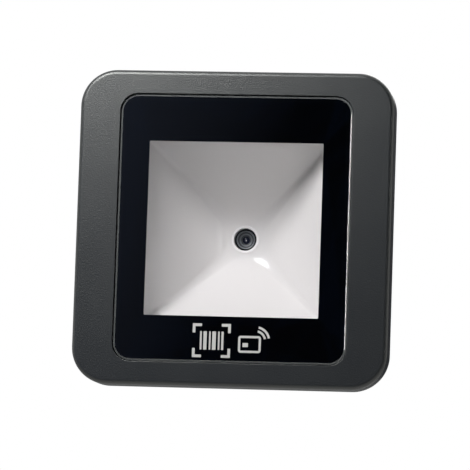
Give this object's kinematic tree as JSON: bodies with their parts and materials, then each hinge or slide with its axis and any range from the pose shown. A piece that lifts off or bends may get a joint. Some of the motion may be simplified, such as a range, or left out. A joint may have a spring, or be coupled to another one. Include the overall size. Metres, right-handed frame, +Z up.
{
  "type": "fixed barcode reader",
  "caption": "Panel-mounted code and card reader: square dark frame, black glass with a clear window over a white light bowl and lens, and a housing with a data socket behind.",
  "frame": {"origin": "middle of the face frame on the panel's front surface", "axes": "+X to the right of the face, +Y from the face into the panel, +Z up"},
  "size_m": [0.086, 0.0524, 0.086],
  "materials": {
    "bezel_plastic": "fine moulded texture, matte",
    "cover_glass": "clear, polished, bevelled edge",
    "mask_film": "black print seen through glass",
    "tape_black": "matte adhesive",
    "board_green": "solder mask",
    "flex_amber": "flexible film",
    "connector_white": "moulded",
    "bowl_white": "white, glossy",
    "lens_black": "black, satin",
    "lens_glass": "coated lens",
    "sensor_glass": "coated cover",
    "lamp_white": "translucent white",
    "chip_black": "moulded",
    "can_metal": "drawn can",
    "coil_grey": "pressed ferrite",
    "buzzer_black": "moulded",
    "socket_black": "moulded",
    "contact_gold": "gold plated",
    "screw_steel": "zinc plated",
    "seal_rubber": "matte",
    "housing_plastic": "fine moulded texture, matte",
    "insert_brass": "turned"
  },
  "bodies": {
    "root": {"front_bezel": "bezel_plastic", "cover_glass": "cover_glass", "window_mask": "mask_film", "glass_tape": "tape_black", "antenna_board": "board_green", "antenna_lead": "flex_amber", "antenna_socket": "connector_white", "light_funnel": "bowl_white", "lens_barrel": "lens_black", "front_lens": "lens_glass", "lens_holder": "lens_black", "image_sensor": "sensor_glass", "lamp_leds": "lamp_white", "main_board": "board_green", "decoder_chip": "chip_black", "memory_chip": "chip_black", "radio_chip": "chip_black", "crystal": "can_metal", "power_coil": "coil_grey", "capacitors": "can_metal", "buzzer": "buzzer_black", "data_socket": "socket_black", "socket_contacts": "contact_gold", "board_screws": "screw_steel", "housing_seal": "seal_rubber", "rear_housing": "housing_plastic", "housing_screws": "screw_steel", "panel_inserts": "insert_brass"}
  },
  "joints": []
}
